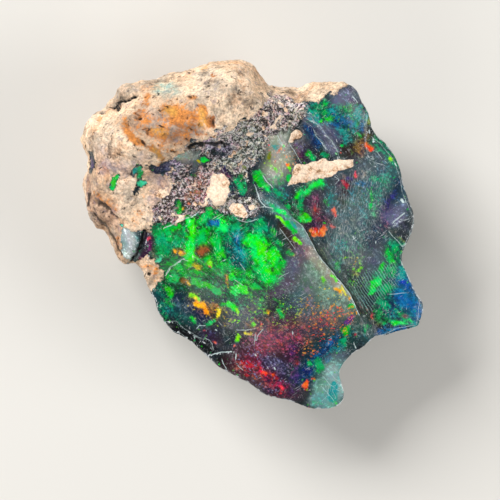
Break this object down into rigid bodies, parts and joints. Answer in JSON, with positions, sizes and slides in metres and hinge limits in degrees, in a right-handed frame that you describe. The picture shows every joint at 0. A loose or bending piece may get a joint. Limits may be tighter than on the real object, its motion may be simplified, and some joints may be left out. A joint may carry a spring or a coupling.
{
  "type": "rough black opal",
  "caption": "Loose lump of rough black opal, glassy and broken on one side with a rounded crust of pale host rock on the other, lying on its flat back.",
  "frame": {"origin": "centre of the stone's box in plan, on the surface it rests on", "axes": "+Z up through the play-of-colour face and the stone's least extent, +X to the right and +Y up across that face"},
  "size_m": [0.0206, 0.021, 0.0098],
  "materials": {
    "opal": "gloss"
  },
  "bodies": {
    "root": {"rough_black_opal": "opal"}
  },
  "joints": []
}
